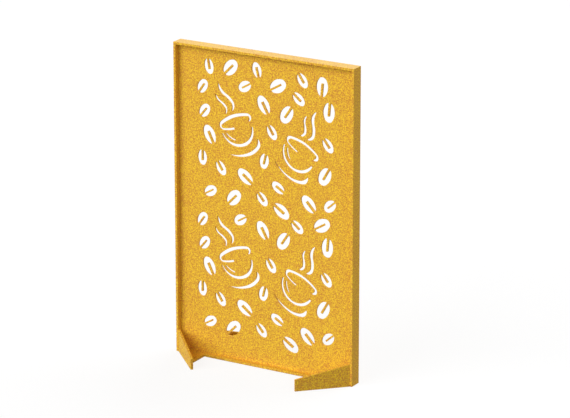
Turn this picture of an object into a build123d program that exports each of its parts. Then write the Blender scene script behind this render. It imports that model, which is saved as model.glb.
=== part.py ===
from build123d import *
from math import sqrt
import os

# Free-standing partition: a board frame on four diagonal feet, round a stencil-cut panel.
# Millimetres. X runs along the width, Y from the front to the back, Z up. The origin is on the
# floor, under the middle of the screen.

# Frame of four boards, with full-height stiles and the rails between them
screen_height = 1900.0
screen_width = 1200.0
frame_depth = 80.0
board_thickness = 15.0
edge_ease = 1.0

# Panel, held in a groove that runs round the inside of the frame
panel_thickness = 12.0
groove_depth = 6.0
panel_face_play = 0.1
panel_edge_gap = 1.0

# Feet: an upright brace set diagonally at each lower corner, and a triangular base in its angle
brace_reach = 231.0
brace_root_height = 135.0
brace_tip_height = 70.0
base_leg = 160.0

# Loose tenons, each glued into a mortise in both of the boards that it joins
tenon_thickness = 5.0
tenon_play = 0.15
tenon_end_gap = 1.0
tenon_face_depth = 10.0
tenon_end_depth = 20.0
corner_tenon_width = 24.0
corner_tenon_inset = 18.0
root_tenon_width = 60.0
root_tenon_depth = 9.0
root_tenon_inset = 7.5
base_tenon_width = 50.0

# Coffee beans cut through the panel; a tab of the panel is left in each one as its crease
large_bean_length = 119.0
large_bean_width = 79.0
large_tab_width = 12.5
large_tab_reach = 80.0
small_bean_length = 95.0
small_bean_width = 64.5
small_tab_width = 10.5
small_tab_reach = 65.0

# Cups cut through the panel as brush strokes, drawn upright about the middle of the rim
cup_width = 230.0

# The pattern is laid twice, one repeat below the other, and each repeat drifts a little to the left
repeat_share = 0.4315
repeat_drift = 7.0

# How far a cutting tool runs past the face that it opens
overrun = 5.0

# Beans and cups: the turn in degrees, anticlockwise from the front, then the place across the opening
# as a share of its width, and the place down from the repeat's top as a share of the repeat's height.
# A bean's turn is the direction from its middle to the rim that its tab grows from.
large_bean_turns_and_shares = (
    (85, 0.857, 0.342),
    (296, 0.176, 0.644),
    (60, 0.835, 0.817),
    (323, 0.381, 0.917),
    (313, 0.745, 1.041),
    (225, 0.315, 1.09),
)
small_bean_turns_and_shares = (
    (235, 0.137, 0.291),
    (230, 0.148, 0.47),
    (122, 0.535, 0.555),
    (127, 0.852, 0.585),
    (76, 0.491, 0.778),
    (90, 0.133, 0.825),
    (122, 0.241, 0.882),
    (329, 0.57, 0.958),
    (41, 0.864, 1.03),
    (210, 0.179, 1.068),
    (130, 0.479, 1.063),
)
cup_turns_and_shares = (
    (22, 0.325, 0.515),
    (-27, 0.71, 0.635),
)

# Beans that are only in the upper repeat, where they fill the row under the top rail
upper_large_turns_and_shares = (
    (225, 0.299, 0.123),
    (265, 0.819, 0.162),
    (210, 0.57, 0.206),
    (299, 0.488, 0.362),
    (56, 0.619, 0.407),
)
upper_small_turns_and_shares = (
    (100, 0.175, 0.137),
    (285, 0.45, 0.112),
    (125, 0.708, 0.138),
    (30, 0.38, 0.247),
    (140, 0.687, 0.278),
)

# Beans that are only in the lower repeat
lower_large_turns_and_shares = (
    (146, 0.595, 0.13),
    (211, 0.826, 0.183),
    (299, 0.488, 0.298),
    (56, 0.606, 0.352),
    (146, 0.648, 1.13),
)
lower_small_turns_and_shares = (
    (140, 0.686, 0.228),
    (30, 0.358, 0.248),
)

# Strokes of the cup, in shares of its width: points along one side and along the other, both from the
# same end. Each side is a chain of arcs, and an arc takes three points, with its last one shared.
rim_outer_shares = (
    (0.385, -0.105),
    (0.465, -0.078),
    (0.506, -0.005),
    (0.483, 0.065),
    (0.415, 0.112),
    (0.21, 0.162),
    (0.0, 0.182),
    (-0.22, 0.158),
    (-0.425, 0.1),
    (-0.49, 0.045),
    (-0.51, -0.02),
    (-0.483, -0.088),
    (-0.41, -0.138),
    (-0.25, -0.18),
    (-0.085, -0.195),
)
rim_inner_shares = (
    (0.38, -0.083),
    (0.418, -0.028),
    (0.4, 0.035),
    (0.205, 0.08),
    (0.0, 0.098),
    (-0.21, 0.075),
    (-0.41, 0.02),
    (-0.435, -0.03),
    (-0.41, -0.078),
    (-0.25, -0.12),
    (-0.085, -0.14),
)
bowl_outer_shares = (
    (-0.51, -0.2),
    (-0.455, -0.4),
    (-0.345, -0.548),
    (-0.19, -0.64),
    (0.0, -0.672),
    (0.27, -0.592),
    (0.455, -0.26),
)
bowl_inner_shares = (
    (-0.465, -0.195),
    (-0.41, -0.352),
    (-0.31, -0.475),
    (-0.17, -0.56),
    (0.0, -0.595),
    (0.24, -0.512),
    (0.405, -0.25),
)
highlight_outer_shares = (
    (-0.394, -0.232),
    (-0.313, -0.378),
    (-0.188, -0.482),
)
highlight_inner_shares = (
    (-0.35, -0.22),
    (-0.275, -0.34),
    (-0.162, -0.44),
)
saucer_outer_shares = (
    (-0.51, -0.755),
    (-0.265, -0.885),
    (0.0, -0.935),
    (0.228, -0.917),
    (0.415, -0.838),
    (0.502, -0.73),
    (0.48, -0.58),
)
saucer_inner_shares = (
    (-0.505, -0.742),
    (-0.265, -0.832),
    (0.0, -0.862),
    (0.19, -0.837),
    (0.343, -0.772),
    (0.415, -0.695),
    (0.455, -0.58),
)
large_steam_left_shares = (
    (-0.112, 1.06),
    (-0.158, 0.9),
    (-0.105, 0.735),
    (0.0, 0.588),
    (0.06, 0.45),
    (0.045, 0.355),
    (-0.005, 0.275),
)
large_steam_right_shares = (
    (-0.092, 1.065),
    (-0.066, 0.885),
    (0.01, 0.74),
    (0.108, 0.6),
    (0.152, 0.46),
    (0.12, 0.345),
    (0.03, 0.272),
)
small_steam_left_shares = (
    (-0.292, 0.81),
    (-0.322, 0.715),
    (-0.285, 0.6),
    (-0.205, 0.475),
    (-0.165, 0.375),
    (-0.18, 0.315),
    (-0.215, 0.252),
)
small_steam_right_shares = (
    (-0.275, 0.81),
    (-0.262, 0.715),
    (-0.212, 0.612),
    (-0.132, 0.512),
    (-0.088, 0.4),
    (-0.11, 0.325),
    (-0.168, 0.25),
)

# Lengths that follow
half_width = screen_width / 2
half_depth = frame_depth / 2
opening_width = screen_width - 2 * board_thickness
opening_height = screen_height - 2 * board_thickness
stile_face = half_width - board_thickness
half_board = board_thickness / 2
rail_underside = screen_height - board_thickness
mid_height = screen_height / 2
repeat_height = opening_height * repeat_share
brace_length = brace_reach * sqrt(2)
base_start = board_thickness + board_thickness * sqrt(2)
brace_fall = (brace_root_height - brace_tip_height) / brace_length

# Boxes that stand on the middle of their lower end
from_its_end = (Align.CENTER, Align.CENTER, Align.MIN)


def eased_frame():
    """The whole frame in one: a ring with its corners and all its long edges eased, and its groove."""
    outline = Rectangle(screen_width, screen_height)
    outline = chamfer(outline.vertices(), edge_ease)
    ring = Plane.XZ * (outline - Rectangle(opening_width, opening_height))
    ring = Pos(0, 0, mid_height) * extrude(ring, half_depth, both=True)
    front_and_back = ring.edges().group_by(Axis.Y)
    ring = chamfer(front_and_back[0] + front_and_back[-1], edge_ease)
    groove = Box(
        opening_width + 2 * groove_depth,
        panel_thickness + 2 * panel_face_play,
        opening_height + 2 * groove_depth,
    )
    return ring - Pos(0, 0, mid_height) * groove


def tenon_place(point, along_width, direction):
    """Where a tenon crosses a joint: its middle line points from the face board into the other one."""
    return Plane(origin=point, x_dir=along_width, z_dir=direction).location


def tenon(place, width, face_depth, end_depth):
    """One tenon, pushed home in the face board's mortise."""
    tongue = Box(width, tenon_thickness, face_depth + end_depth, align=from_its_end)
    return place * Pos(0, 0, -face_depth) * tongue


def mortise(place, width, face_depth, end_depth):
    """The mortise for a tenon in both boards, a little deeper than the tenon at its far end."""
    cutter = Box(
        width + 2 * tenon_play,
        tenon_thickness + 2 * tenon_play,
        face_depth + end_depth + tenon_end_gap,
        align=from_its_end,
    )
    return place * Pos(0, 0, -face_depth) * cutter


def corner_tenon_place(side, end, height):
    """Across a corner joint, in front of the panel or behind it: from the stile into the rail's end."""
    point = (side * stile_face, end * (half_depth - corner_tenon_inset), height)
    return tenon_place(point, (0, 1, 0), (-side, 0, 0))


def foot_point(inward, forward):
    """A point of the front left foot in plan, measured from the frame's front left corner."""
    return (inward - half_width, -half_depth - forward)


def root_tenon_place():
    """Of the front left foot: upright, from the stile's inner face into the brace's mitred root."""
    point = (*foot_point(board_thickness, -root_tenon_inset), brace_root_height / 2)
    return tenon_place(point, (0, 0, 1), (1, 0, 0))


def edge_tenon_place():
    """Of the front left foot: from the bottom rail's front edge into the base's back edge."""
    point = (*foot_point(base_start + base_leg / 2, 0), half_board)
    return tenon_place(point, (1, 0, 0), (0, -1, 0))


def slope_tenon_place():
    """Of the front left foot: from the brace's inner face into the base's sloping edge."""
    point = (*foot_point(base_start + base_leg / 2, base_leg / 2), half_board)
    return tenon_place(point, (1, -1, 0), (1, 1, 0))


def brace():
    """The front left brace: an upright tapering board at 45 degrees, its root mitred to the stile."""
    back = board_thickness + overrun
    outline = Polyline(
        (-back, 0),
        (brace_length, 0),
        (brace_length, brace_tip_height),
        (-back, brace_root_height + back * brace_fall),
        close=True,
    )
    board = extrude(make_face(outline), board_thickness, dir=(0, 0, -1))
    exposed = board.edges().filter_by(lambda edge: edge.center().X > 0 and edge.center().Y > 0)
    board = chamfer(exposed, edge_ease)
    root = (*foot_point(board_thickness, 0), 0)
    board = Plane(origin=root, x_dir=(1, -1, 0), z_dir=(-1, -1, 0)).location * board
    stile_side = Box(brace_length, frame_depth, screen_height, align=(Align.MAX, Align.CENTER, Align.MIN))
    rail_space = Box(opening_width, frame_depth, board_thickness, align=from_its_end)
    return board - Pos(-stile_face, -half_depth, 0) * stile_side - rail_space


def base():
    """The front left base: a flat triangle in the angle between the brace and the bottom rail."""
    base_end = base_start + base_leg
    outline = Polyline(
        foot_point(base_start, 0),
        foot_point(base_end, 0),
        foot_point(base_end, base_leg),
        close=True,
    )
    board = extrude(make_face(outline), board_thickness, dir=(0, 0, 1))
    free_edge = board.edges().group_by(Axis.Z)[-1].sort_by(Axis.X)[-1]
    return chamfer(free_edge, edge_ease)


def at_foot(shape, side, end):
    """A shape of the front left foot, mirrored to the foot on this side and at this end."""
    if side > 0:
        shape = mirror(shape, Plane.YZ)
    if end > 0:
        shape = mirror(shape, Plane.XZ)
    return shape


def arcs_through(points):
    """A chain of arcs, each through three of the points, with its last one shared with the next arc."""
    return [ThreePointArc(*points[start : start + 3]) for start in range(0, len(points) - 2, 2)]


def oval(length, width):
    """A draughtsman's oval of four arcs, drawn from its end and side radii, which meet without a corner."""
    half_length = length / 2
    half_breadth = width / 2
    diagonal = sqrt(half_length**2 + half_breadth**2)
    end_radius = diagonal * (diagonal - half_length + half_breadth) / length
    side_radius = diagonal * (diagonal + half_length - half_breadth) / width
    meet_x = (half_length - end_radius) * side_radius / (side_radius - end_radius)
    meet_y = (side_radius - half_breadth) * end_radius / (side_radius - end_radius)
    points = [
        (meet_x, -meet_y),
        (half_length, 0),
        (meet_x, meet_y),
        (0, half_breadth),
        (-meet_x, meet_y),
        (-half_length, 0),
        (-meet_x, -meet_y),
        (0, -half_breadth),
        (meet_x, -meet_y),
    ]
    return make_face(arcs_through(points))


def bean_cut(length, width, tab_width, tab_reach):
    """The hole for one bean: an oval that a straight tab of the panel runs into from its right end."""
    tab = Rectangle(tab_reach + overrun, tab_width, align=(Align.MIN, Align.CENTER))
    return oval(length, width) - Pos(length / 2 - tab_reach, 0) * tab


def stroke_cut(first_shares, second_shares):
    """The hole for one stroke of a cup: arcs along both its sides, and a straight cut across each end."""
    first = [(x * cup_width, y * cup_width) for x, y in first_shares]
    second = [(x * cup_width, y * cup_width) for x, y in reversed(second_shares)]
    outline = arcs_through(first) + [Line(first[-1], second[0])]
    outline += arcs_through(second) + [Line(second[-1], first[0])]
    return make_face(outline)


def cup_cut():
    """The six strokes of one cup: rim, bowl, highlight, saucer and two curls of steam."""
    return [
        stroke_cut(rim_outer_shares, rim_inner_shares),
        stroke_cut(bowl_outer_shares, bowl_inner_shares),
        stroke_cut(highlight_outer_shares, highlight_inner_shares),
        stroke_cut(saucer_outer_shares, saucer_inner_shares),
        stroke_cut(large_steam_left_shares, large_steam_right_shares),
        stroke_cut(small_steam_left_shares, small_steam_right_shares),
    ]


def laid_out(motif, turns_and_shares, repeat):
    """Copies of a motif in one repeat of the pattern, on the panel's middle plane."""
    copies = []
    for turn, across_share, down_share in turns_and_shares:
        across = across_share * opening_width - opening_width / 2 - repeat * repeat_drift
        height = rail_underside - (repeat + down_share) * repeat_height
        copies += [Pos(across, height) * Rot(0, 0, turn) * face for face in motif]
    return copies


def stencil():
    """Every hole of the panel, as faces."""
    large = [bean_cut(large_bean_length, large_bean_width, large_tab_width, large_tab_reach)]
    small = [bean_cut(small_bean_length, small_bean_width, small_tab_width, small_tab_reach)]
    cup = cup_cut()
    faces = []
    for repeat in (0, 1):
        faces += laid_out(large, large_bean_turns_and_shares, repeat)
        faces += laid_out(small, small_bean_turns_and_shares, repeat)
        faces += laid_out(cup, cup_turns_and_shares, repeat)
    faces += laid_out(large, upper_large_turns_and_shares, 0)
    faces += laid_out(small, upper_small_turns_and_shares, 0)
    faces += laid_out(large, lower_large_turns_and_shares, 1)
    faces += laid_out(small, lower_small_turns_and_shares, 1)
    return faces


def panel():
    """The panel, standing in the bottom rail's groove, with the stencil cut through it."""
    width = opening_width + 2 * (groove_depth - panel_edge_gap)
    height = opening_height + 2 * groove_depth - panel_edge_gap
    foot = board_thickness - groove_depth
    sheet = Pos(0, foot + height / 2) * Rectangle(width, height)
    return extrude(Plane.XZ * (sheet - stencil()), panel_thickness / 2, both=True)


def part_of_ring(ring, left, right, bottom, top):
    """The board that lies between these limits of the eased, grooved and mortised ring."""
    space = Box(right - left, frame_depth, top - bottom, align=(Align.MIN, Align.CENTER, Align.MIN))
    return ring & (Pos(left, 0, bottom) * space)


def save(node, pieces):
    """Write the pieces of one node to its file."""
    shape = pieces[0] if len(pieces) == 1 else Compound(children=pieces)
    export_step(shape, f"parts/{node}.step")


os.makedirs("parts", exist_ok=True)

corner_places = [
    corner_tenon_place(side, end, height)
    for side in (-1, 1)
    for end in (-1, 1)
    for height in (half_board, screen_height - half_board)
]
corner_sizes = (corner_tenon_width, tenon_face_depth, tenon_end_depth)
root_sizes = (root_tenon_width, root_tenon_depth, root_tenon_depth)
base_sizes = (base_tenon_width, tenon_face_depth, tenon_end_depth)

root_mortise = mortise(root_tenon_place(), *root_sizes)
edge_mortise = mortise(edge_tenon_place(), *base_sizes)
slope_mortise = mortise(slope_tenon_place(), *base_sizes)
foot_brace = brace() - root_mortise - slope_mortise
foot_base = base() - edge_mortise - slope_mortise

feet = {
    "front_left": (-1, -1),
    "front_right": (1, -1),
    "back_left": (-1, 1),
    "back_right": (1, 1),
}

ring = eased_frame() - [mortise(place, *corner_sizes) for place in corner_places]
for side, end in feet.values():
    ring -= [at_foot(root_mortise, side, end), at_foot(edge_mortise, side, end)]

save("left_stile", [part_of_ring(ring, -half_width, -stile_face, 0, screen_height)])
save("right_stile", [part_of_ring(ring, stile_face, half_width, 0, screen_height)])
save("bottom_rail", [part_of_ring(ring, -stile_face, stile_face, 0, board_thickness)])
save("top_rail", [part_of_ring(ring, -stile_face, stile_face, rail_underside, screen_height)])
save("panel", [panel()])
for foot, (side, end) in feet.items():
    save(f"{foot}_brace", [at_foot(foot_brace, side, end)])
    save(f"{foot}_base", [at_foot(foot_base, side, end)])

root_tenon = tenon(root_tenon_place(), *root_sizes)
edge_tenon = tenon(edge_tenon_place(), *base_sizes)
slope_tenon = tenon(slope_tenon_place(), *base_sizes)
save("corner_tenons", [tenon(place, *corner_sizes) for place in corner_places])
save("brace_tenons", [at_foot(root_tenon, side, end) for side, end in feet.values()])
save("base_edge_tenons", [at_foot(edge_tenon, side, end) for side, end in feet.values()])
save("base_slope_tenons", [at_foot(slope_tenon, side, end) for side, end in feet.values()])
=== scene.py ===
import math

import bmesh
import bpy
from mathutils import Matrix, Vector

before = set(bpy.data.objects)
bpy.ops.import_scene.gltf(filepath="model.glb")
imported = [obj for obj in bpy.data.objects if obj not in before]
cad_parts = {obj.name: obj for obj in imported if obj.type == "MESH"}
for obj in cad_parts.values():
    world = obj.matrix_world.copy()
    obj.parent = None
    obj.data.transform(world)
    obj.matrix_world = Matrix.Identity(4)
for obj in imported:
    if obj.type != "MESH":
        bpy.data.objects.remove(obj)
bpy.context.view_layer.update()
scene = bpy.context.scene


# Camera. A long lens stands at the right of the front, a little above the top rail, and looks down
# at the whole screen. The photograph gives its place, its direction and its lens.
camera_place = (9.1545, -15.2787, 6.6054)
camera_azimuth = 30.576
camera_elevation = 17.554
camera_lens = 204.0
camera_reach = 400.0

camera_data = bpy.data.cameras.new("camera")
camera_data.lens = camera_lens
camera_data.clip_end = camera_reach
camera = bpy.data.objects.new("camera", camera_data)
camera.location = camera_place
camera.rotation_euler = (
    math.radians(90 - camera_elevation),
    0,
    math.radians(camera_azimuth),
)
scene.collection.objects.link(camera)
scene.camera = camera


# Panel. A sheet of wood board, cut right through with coffee beans and steaming cups, and sprayed
# with a speckled gold lacquer before it slides into the frame's groove. The spray leaves brown and
# yellow drops in the gold. It is thin on the sharp edges that the cutter leaves, which are painted
# paler as a painted highlight.
class Tone:
    """A socket of a finish's nodes. A sum that is written on it becomes Math nodes."""

    def __init__(self, tree, socket=None):
        self.tree = tree
        self.socket = socket

    def feed(self, inlet, value):
        """Link a tone to a socket, or set it to a plain value."""
        if isinstance(value, Tone):
            self.tree.links.new(value.socket, inlet)
        else:
            inlet.default_value = value

    def node(self, kind, settings=None, values=None, output=0):
        """Any other node: its settings first, then its sockets, and the output that is wanted."""
        node = self.tree.nodes.new(kind)
        for name, value in (settings or {}).items():
            setattr(node, name, value)
        for name, value in (values or {}).items():
            self.feed(node.inputs[name], value)
        return Tone(self.tree, node.outputs[output])

    def math(self, operation, *values):
        settings = {"operation": operation}
        return self.node("ShaderNodeMath", settings, dict(enumerate(values)))

    def __add__(self, other):
        return self.math("ADD", self, other)

    def __radd__(self, other):
        return self.math("ADD", other, self)

    def __sub__(self, other):
        return self.math("SUBTRACT", self, other)

    def __rsub__(self, other):
        return self.math("SUBTRACT", other, self)

    def __mul__(self, other):
        return self.math("MULTIPLY", self, other)

    def __rmul__(self, other):
        return self.math("MULTIPLY", other, self)

    def rise(self, start, end):
        """From 0 at start to 1 at end, smoothly, and level beyond them."""
        settings = {"interpolation_type": "SMOOTHSTEP"}
        values = {"Value": self, "From Min": start, "From Max": end}
        return self.node("ShaderNodeMapRange", settings, values)

    def between(self, first, second):
        """The first colour where this tone is 0 or less, and the second where it is 1 or more."""
        settings = {"data_type": "RGBA"}
        values = {0: self, 6: first, 7: second}
        return self.node("ShaderNodeMix", settings, values, output=2)

    def vector(self, operation, other, output="Vector"):
        """This vector with another one, in a Vector Math node."""
        settings = {"operation": operation}
        return self.node("ShaderNodeVectorMath", settings, {0: self, 1: other}, output)

    def beside(self, output):
        """Another output of the node that this tone comes from."""
        return Tone(self.tree, self.socket.node.outputs[output])

    def put_out(self, kind):
        """Make this shader the one that its tree gives."""
        outlet = self.tree.nodes.new(kind)
        self.tree.links.new(self.socket, outlet.inputs["Surface"])


def new_finish(name):
    """An empty material, and a tone to build its nodes from."""
    material = bpy.data.materials.new(name)
    material.use_nodes = True
    material.node_tree.nodes.clear()
    return material, Tone(material.node_tree)


def noise(place, size, detail):
    """Cloudy noise, of about this size in metres. More detail gives it finer grains."""
    values = {"Vector": place, "Scale": 1 / size, "Detail": detail}
    return place.node("ShaderNodeTexNoise", values=values)


# The coat: a mottled gold, under a coarse and a fine spray of drops that are browner or yellower.
# Colours are linear shares of red, green and blue; sizes are in metres.
gold = (0.75, 0.408, 0.036, 1)
drop_brown = (0.57, 0.198, 0.036, 1)
drop_yellow = (0.97, 0.69, 0.038, 1)
brown_gain = 1.6
yellow_gain = 1.4
mottle_size = 0.0075
mottle_detail = 4
mottle_swing = 3.7
cloud_size = 0.11
cloud_detail = 3
cloud_swing = 0.30
drop_size = 0.0065
drop_swing = 1.1
fine_drop_size = 0.0028
fine_drop_swing = 0.9
fine_drop_shift = 0.25
drop_spread = 0.12
drop_rim = (0.05, 0.45)


def spray(place, size, shift):
    """A spray of round drops: a tone from -0.5 to 0.5 in each of them, and 0 between them."""
    moved = place.vector("ADD", (shift, shift, shift))
    values = {"Vector": moved, "Scale": 1 / size}
    cell = place.node("ShaderNodeTexVoronoi", values=values, output="Color")
    parts = place.node("ShaderNodeSeparateColor", values={"Color": cell}, output="Red")
    inside = 1 - (cell.beside("Distance") - drop_spread * parts.beside("Green")).rise(*drop_rim)
    return (parts - 0.5) * inside, inside


# Thin lacquer along the edges, painted paler there as a painted highlight, with a few chips down
# to the board
highlight_gold = (0.98, 0.65, 0.12, 1)
board_brown = (0.34, 0.20, 0.10, 1)
edge_radius = 0.0016
edge_samples = 4
edge_gain = 3.4
chip_size = 0.011
chip_detail = 4
thin_and_highlight_range = (0.15, 0.85)
highlight_share = 0.6
chip_range = (0.62, 0.7)
chip_share = 0.8

# Dust that settles on what faces up near the top, which is also a painted sheen that pales those
# faces, and scuffs from shoes and brooms near the floor
dust_and_sheen_pale = (1.0, 0.77, 0.42, 1)
dust_and_sheen_heights = (1.7, 1.8)
dust_and_sheen_slopes = (0.5, 0.95)
dust_and_sheen_least = 0.22
dust_and_sheen_swing = 0.20
scuff_stretch = (9, 9, 120)
scuff_detail = 5
scuff_range = (0.5, 0.75)
scuff_share = 0.30

# Gloss, and the relief of the sprayed skin in metres
gloss_level = 0.14
coat_roughness = 0.50
peel_dulls = 0.10
drop_shines = 0.08
thin_dulls = 0.15
scuff_dulls = 0.2
dust_and_sheen_dulls = 0.3
peel_size = 0.0035
peel_detail = 2
peel_relief = 0.00003
drop_relief = 0.000015
fine_drop_relief = 0.00001
mottle_relief = 0.00001
relief_strength = 0.6


def gold_lacquer(name, scuff_height):
    """Speckled gold lacquer, scuffed below this height above the floor."""
    material, start = new_finish(name)
    place = start.node("ShaderNodeTexCoord", output="Object")
    height = start.node("ShaderNodeSeparateXYZ", values={"Vector": place}, output="Z")
    flat_normal = start.node("ShaderNodeNewGeometry", output="True Normal")
    up = start.node("ShaderNodeSeparateXYZ", values={"Vector": flat_normal}, output="Z")

    mottle = noise(place, mottle_size, mottle_detail)
    cloud = noise(place, cloud_size, cloud_detail)
    coarse, coarse_drop = spray(place, drop_size, 0)
    fine, fine_drop = spray(place, fine_drop_size, fine_drop_shift)
    tone = mottle_swing * (mottle - 0.5) + drop_swing * coarse + fine_drop_swing * fine
    tone = tone + cloud_swing * (cloud - 0.5)
    colour = (-brown_gain * tone).between(gold, drop_brown)
    colour = (yellow_gain * tone).between(colour, drop_yellow)

    rounded = start.node("ShaderNodeBevel", {"samples": edge_samples}, {"Radius": edge_radius})
    edge = edge_gain * (1 - rounded.vector("DOT_PRODUCT", flat_normal, "Value"))
    chips = noise(place, chip_size, chip_detail)
    # Painted highlight: the sharp edges get a paler gold, as if light caught them
    thin_and_highlight = (edge * (0.5 + chips)).rise(*thin_and_highlight_range)
    chipped = (edge * chips).rise(*chip_range)
    # The paler edge colour is a painted highlight
    colour = (highlight_share * thin_and_highlight).between(colour, highlight_gold)
    colour = (chip_share * chipped).between(colour, board_brown)

    # Dust and a painted sheen: faces that look up near the top are painted paler, as if light
    # glanced off them
    high_up = height.rise(*dust_and_sheen_heights)
    dust_and_sheen = high_up * up.rise(*dust_and_sheen_slopes) * (dust_and_sheen_least + dust_and_sheen_swing * cloud)
    colour = dust_and_sheen.between(colour, dust_and_sheen_pale)
    streak = noise(place.vector("MULTIPLY", scuff_stretch), 1, scuff_detail)
    scuff = (1 - height.rise(0, scuff_height)) * streak.rise(*scuff_range)
    colour = (scuff_share * scuff).between(colour, board_brown)

    peel = noise(place, peel_size, peel_detail)
    roughness = coat_roughness + peel_dulls * peel - drop_shines * coarse_drop
    roughness = roughness + thin_dulls * thin_and_highlight + scuff_dulls * scuff + dust_and_sheen_dulls * dust_and_sheen
    relief = peel_relief * peel + drop_relief * coarse_drop
    relief = relief + fine_drop_relief * fine_drop + mottle_relief * mottle
    bump = start.node(
        "ShaderNodeBump",
        values={"Strength": relief_strength, "Distance": 1, "Height": relief, "Normal": rounded},
    )
    start.node(
        "ShaderNodeBsdfPrincipled",
        values={
            "Base Color": colour,
            "Roughness": roughness,
            "Specular IOR Level": gloss_level,
            "Normal": bump,
        },
    ).put_out("ShaderNodeOutputMaterial")
    return material


def coat(node, finish):
    """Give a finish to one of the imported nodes."""
    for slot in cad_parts[node].material_slots:
        slot.material = finish


panel_lacquer = gold_lacquer("panel_lacquer", scuff_height=0.10)
coat("panel", panel_lacquer)


# Frame. Four lacquered boards, 15 mm thick and 80 mm deep, stand round the panel: two stiles of
# full height with the rails between them. Each is grooved for the panel and glued at its ends.
frame_lacquer = gold_lacquer("frame_lacquer", scuff_height=0.16)
for board in ("left_stile", "right_stile", "bottom_rail", "top_rail"):
    coat(board, frame_lacquer)


# Feet. Four tapering boards stand out from the lower corners at 45 degrees, each with a flat
# triangle of board in its angle. They are lacquered like the frame, and scuffed more than it.
foot_lacquer = gold_lacquer("foot_lacquer", scuff_height=0.20)
for foot in ("front_left", "front_right", "back_left", "back_right"):
    coat(f"{foot}_brace", foot_lacquer)
    coat(f"{foot}_base", foot_lacquer)


# Tenons. Loose tongues of beech, glued into mortises in both of the boards that meet. The grain
# runs along each tongue, and its faces are left as the planer left them.
beech_pale = (0.60, 0.40, 0.22, 1)
beech_dark = (0.42, 0.25, 0.12, 1)
grain_stretch = (40, 900, 900)
grain_detail = 6
grain_range = (0.3, 0.7)
grain_relief = 0.00008
grain_strength = 0.4
fleck_scale = 0.7
fleck_range = (0.05, 0.2)
fleck_share = 0.35
planed_roughness = 0.6
grain_dulls = 0.2


def beech(name, grain_turn):
    """Planed beech. Its grain is level, this far from the X axis, and mirrored in each corner."""
    material, start = new_finish(name)
    place = start.node("ShaderNodeTexCoord", output="Object")
    mirrored = start.node("ShaderNodeVectorMath", {"operation": "ABSOLUTE"}, {0: place})
    turned = start.node(
        "ShaderNodeVectorRotate",
        {"rotation_type": "Z_AXIS"},
        {"Vector": mirrored, "Angle": -grain_turn},
    )
    along_grain = turned.vector("MULTIPLY", grain_stretch)
    grain = noise(along_grain, 1, grain_detail)
    fleck = start.node(
        "ShaderNodeTexVoronoi",
        values={"Vector": along_grain, "Scale": fleck_scale},
        output="Distance",
    )
    colour = grain.rise(*grain_range).between(beech_pale, beech_dark)
    flecked = 1 - fleck.rise(*fleck_range)
    colour = (fleck_share * flecked).between(colour, beech_dark)
    bump = start.node(
        "ShaderNodeBump",
        values={"Strength": grain_strength, "Distance": 1, "Height": grain_relief * grain},
    )
    roughness = planed_roughness + grain_dulls * grain
    start.node(
        "ShaderNodeBsdfPrincipled",
        values={"Base Color": colour, "Roughness": roughness, "Normal": bump},
    ).put_out("ShaderNodeOutputMaterial")
    return material


for tenons, grain_turn in (
    ("corner_tenons", 0),
    ("brace_tenons", 0),
    ("base_edge_tenons", math.pi / 2),
    ("base_slope_tenons", math.pi / 4),
):
    coat(tenons, beech(f"{tenons}_beech", grain_turn))


# Studio. A pale level floor goes on past the edge of the picture. One wide soft light comes from
# the left of the front and another from high behind, with a weak one from the right and a little
# light all round.
white = (1, 1, 1, 1)
floor_reach = 150.0
floor_lighting = (0.1, 0.1, 0.1, 1)
floor_glow = 0.86
room_level = 0.12

# Each lamp: where it shines from, how wide it looks in degrees, and its strength
lamps = {
    "front_lamp": ((-0.54, -1, 0.55), 60, 3.12),
    "back_lamp": ((0.34, 1, 0.72), 70, 2.6),
    "right_lamp": ((0.8, -0.65, 0.35), 60, 0.8),
}


def looked_at(start):
    """1 for what the camera sees, in gloss and through glass too, and 0 for what only lights."""
    seen = start.node("ShaderNodeLightPath", output="Is Camera Ray")
    mirrored = seen.beside("Is Glossy Ray")
    through = seen.beside("Is Transmission Ray")
    return seen.math("MAXIMUM", seen, seen.math("MAXIMUM", mirrored, through))


floor_mesh = bpy.data.meshes.new("floor")
shape = bmesh.new()
bmesh.ops.create_grid(shape, x_segments=1, y_segments=1, size=floor_reach)
shape.to_mesh(floor_mesh)
shape.free()
floor = bpy.data.objects.new("floor", floor_mesh)
scene.collection.objects.link(floor)

floor_paint, start = new_finish("floor_paint")
seen = looked_at(start)
paint = seen.between(floor_lighting, white)
matt = start.node("ShaderNodeBsdfDiffuse", values={"Color": paint})
glow = start.node("ShaderNodeEmission", values={"Color": white, "Strength": 1})
start.node(
    "ShaderNodeMixShader", values={0: floor_glow * seen, 1: matt, 2: glow}
).put_out("ShaderNodeOutputMaterial")
floor_mesh.materials.append(floor_paint)

for name, (place, width, level) in lamps.items():
    lamp_data = bpy.data.lights.new(name, type="SUN")
    lamp_data.energy = level
    lamp_data.angle = math.radians(width)
    lamp = bpy.data.objects.new(name, lamp_data)
    lamp.rotation_euler = Vector(place).to_track_quat("Z", "Y").to_euler()
    scene.collection.objects.link(lamp)

world = bpy.data.worlds.new("room")
world.use_nodes = True
world.node_tree.nodes.clear()
start = Tone(world.node_tree)
strength = room_level + (1 - room_level) * looked_at(start)
start.node(
    "ShaderNodeBackground", values={"Color": white, "Strength": strength}
).put_out("ShaderNodeOutputWorld")
scene.world = world
scene.view_settings.view_transform = "Standard"
